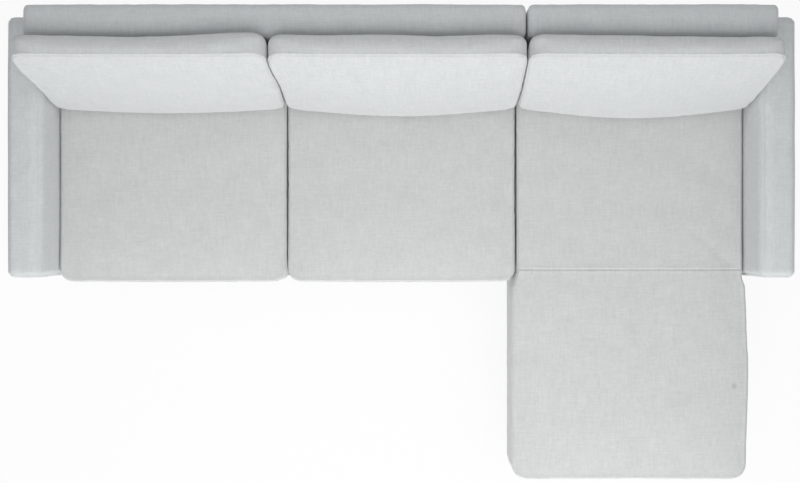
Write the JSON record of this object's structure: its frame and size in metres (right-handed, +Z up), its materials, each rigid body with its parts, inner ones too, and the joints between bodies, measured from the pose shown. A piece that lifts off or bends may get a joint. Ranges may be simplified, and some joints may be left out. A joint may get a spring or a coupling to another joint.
{
  "type": "sectional sofa with chaise",
  "caption": "Sectional sofa in separate upholstered units, with loose seat and back cushions, slim track arms, a chaise at its right and tapered wooden legs.",
  "frame": {"origin": "on the floor, under the middle of the overall width and depth", "axes": "+X along the back, towards the chaise; +Y towards the back of the sofa; +Z up"},
  "size_m": [2.52, 1.52, 0.8666],
  "materials": {
    "cover_fabric": "woven",
    "frame_wood": "raw",
    "leg_wood": "satin",
    "foam": "matte",
    "webbing": "woven",
    "dust_cloth": "matte",
    "steel": "zinc plated",
    "plastic": "matte"
  },
  "bodies": {
    "sofa_unit": {"left_arm_cover": "cover_fabric", "left_arm_frame": "frame_wood", "left_arm_padding": "foam", "sofa_back_cover": "cover_fabric", "sofa_back_frame": "frame_wood", "sofa_back_padding": "foam", "sofa_back_webbing": "webbing", "sofa_border_cover": "cover_fabric", "sofa_braces": "frame_wood", "sofa_connector_sockets": "steel", "sofa_deck": "foam", "sofa_dust_cover": "dust_cloth", "sofa_frame_bolts": "steel", "sofa_front_rail": "frame_wood", "sofa_leg_fixings": "steel", "sofa_leg_front_left": "leg_wood", "sofa_leg_front_right": "leg_wood", "sofa_leg_glides": "plastic", "sofa_leg_rear_left": "leg_wood", "sofa_leg_rear_right": "leg_wood", "sofa_rear_rail": "frame_wood", "sofa_side_rails": "frame_wood", "sofa_spring_clips": "plastic", "sofa_springs": "steel"},
    "chaise_unit": {"chaise_back_cover": "cover_fabric", "chaise_back_frame": "frame_wood", "chaise_back_padding": "foam", "chaise_back_webbing": "webbing", "chaise_border_cover": "cover_fabric", "chaise_braces": "frame_wood", "chaise_connector_tongues": "steel", "chaise_deck": "foam", "chaise_dust_cover": "dust_cloth", "chaise_frame_bolts": "steel", "chaise_front_rail": "frame_wood", "chaise_leg_fixings": "steel", "chaise_leg_front_left": "leg_wood", "chaise_leg_front_right": "leg_wood", "chaise_leg_glides": "plastic", "chaise_leg_rear_left": "leg_wood", "chaise_leg_rear_right": "leg_wood", "chaise_rear_rail": "frame_wood", "chaise_side_rails": "frame_wood", "chaise_spring_clips": "plastic", "chaise_springs": "steel", "right_arm_cover": "cover_fabric", "right_arm_frame": "frame_wood", "right_arm_padding": "foam"},
    "left_seat_cushion": {"left_seat_cushion_cover": "cover_fabric", "left_seat_cushion_core": "foam"},
    "middle_seat_cushion": {"middle_seat_cushion_cover": "cover_fabric", "middle_seat_cushion_core": "foam"},
    "chaise_cushion": {"chaise_cushion_cover": "cover_fabric", "chaise_cushion_core": "foam"},
    "left_back_cushion": {"left_back_cushion_cover": "cover_fabric", "left_back_cushion_core": "foam"},
    "middle_back_cushion": {"middle_back_cushion_cover": "cover_fabric", "middle_back_cushion_core": "foam"},
    "right_back_cushion": {"right_back_cushion_cover": "cover_fabric", "right_back_cushion_core": "foam"}
  },
  "joints": [
    {"name": "chaise_unit_pull_apart", "type": "slide", "parent": "sofa_unit", "child": "chaise_unit", "axis": [1, 0, 0], "range_m": [0, 0.5]},
    {"name": "left_seat_cushion_lift", "type": "slide", "parent": "sofa_unit", "child": "left_seat_cushion", "axis": [0, 0, 1], "range_m": [0, 0.6]},
    {"name": "middle_seat_cushion_lift", "type": "slide", "parent": "sofa_unit", "child": "middle_seat_cushion", "axis": [0, 0, 1], "range_m": [0, 0.6]},
    {"name": "chaise_cushion_lift", "type": "slide", "parent": "chaise_unit", "child": "chaise_cushion", "axis": [0, 0, 1], "range_m": [0, 0.6]},
    {"name": "left_back_cushion_lift", "type": "slide", "parent": "left_seat_cushion", "child": "left_back_cushion", "axis": [0, 0, 1], "range_m": [0, 0.45]},
    {"name": "middle_back_cushion_lift", "type": "slide", "parent": "middle_seat_cushion", "child": "middle_back_cushion", "axis": [0, 0, 1], "range_m": [0, 0.45]},
    {"name": "right_back_cushion_lift", "type": "slide", "parent": "chaise_cushion", "child": "right_back_cushion", "axis": [0, 0, 1], "range_m": [0, 0.45]}
  ]
}
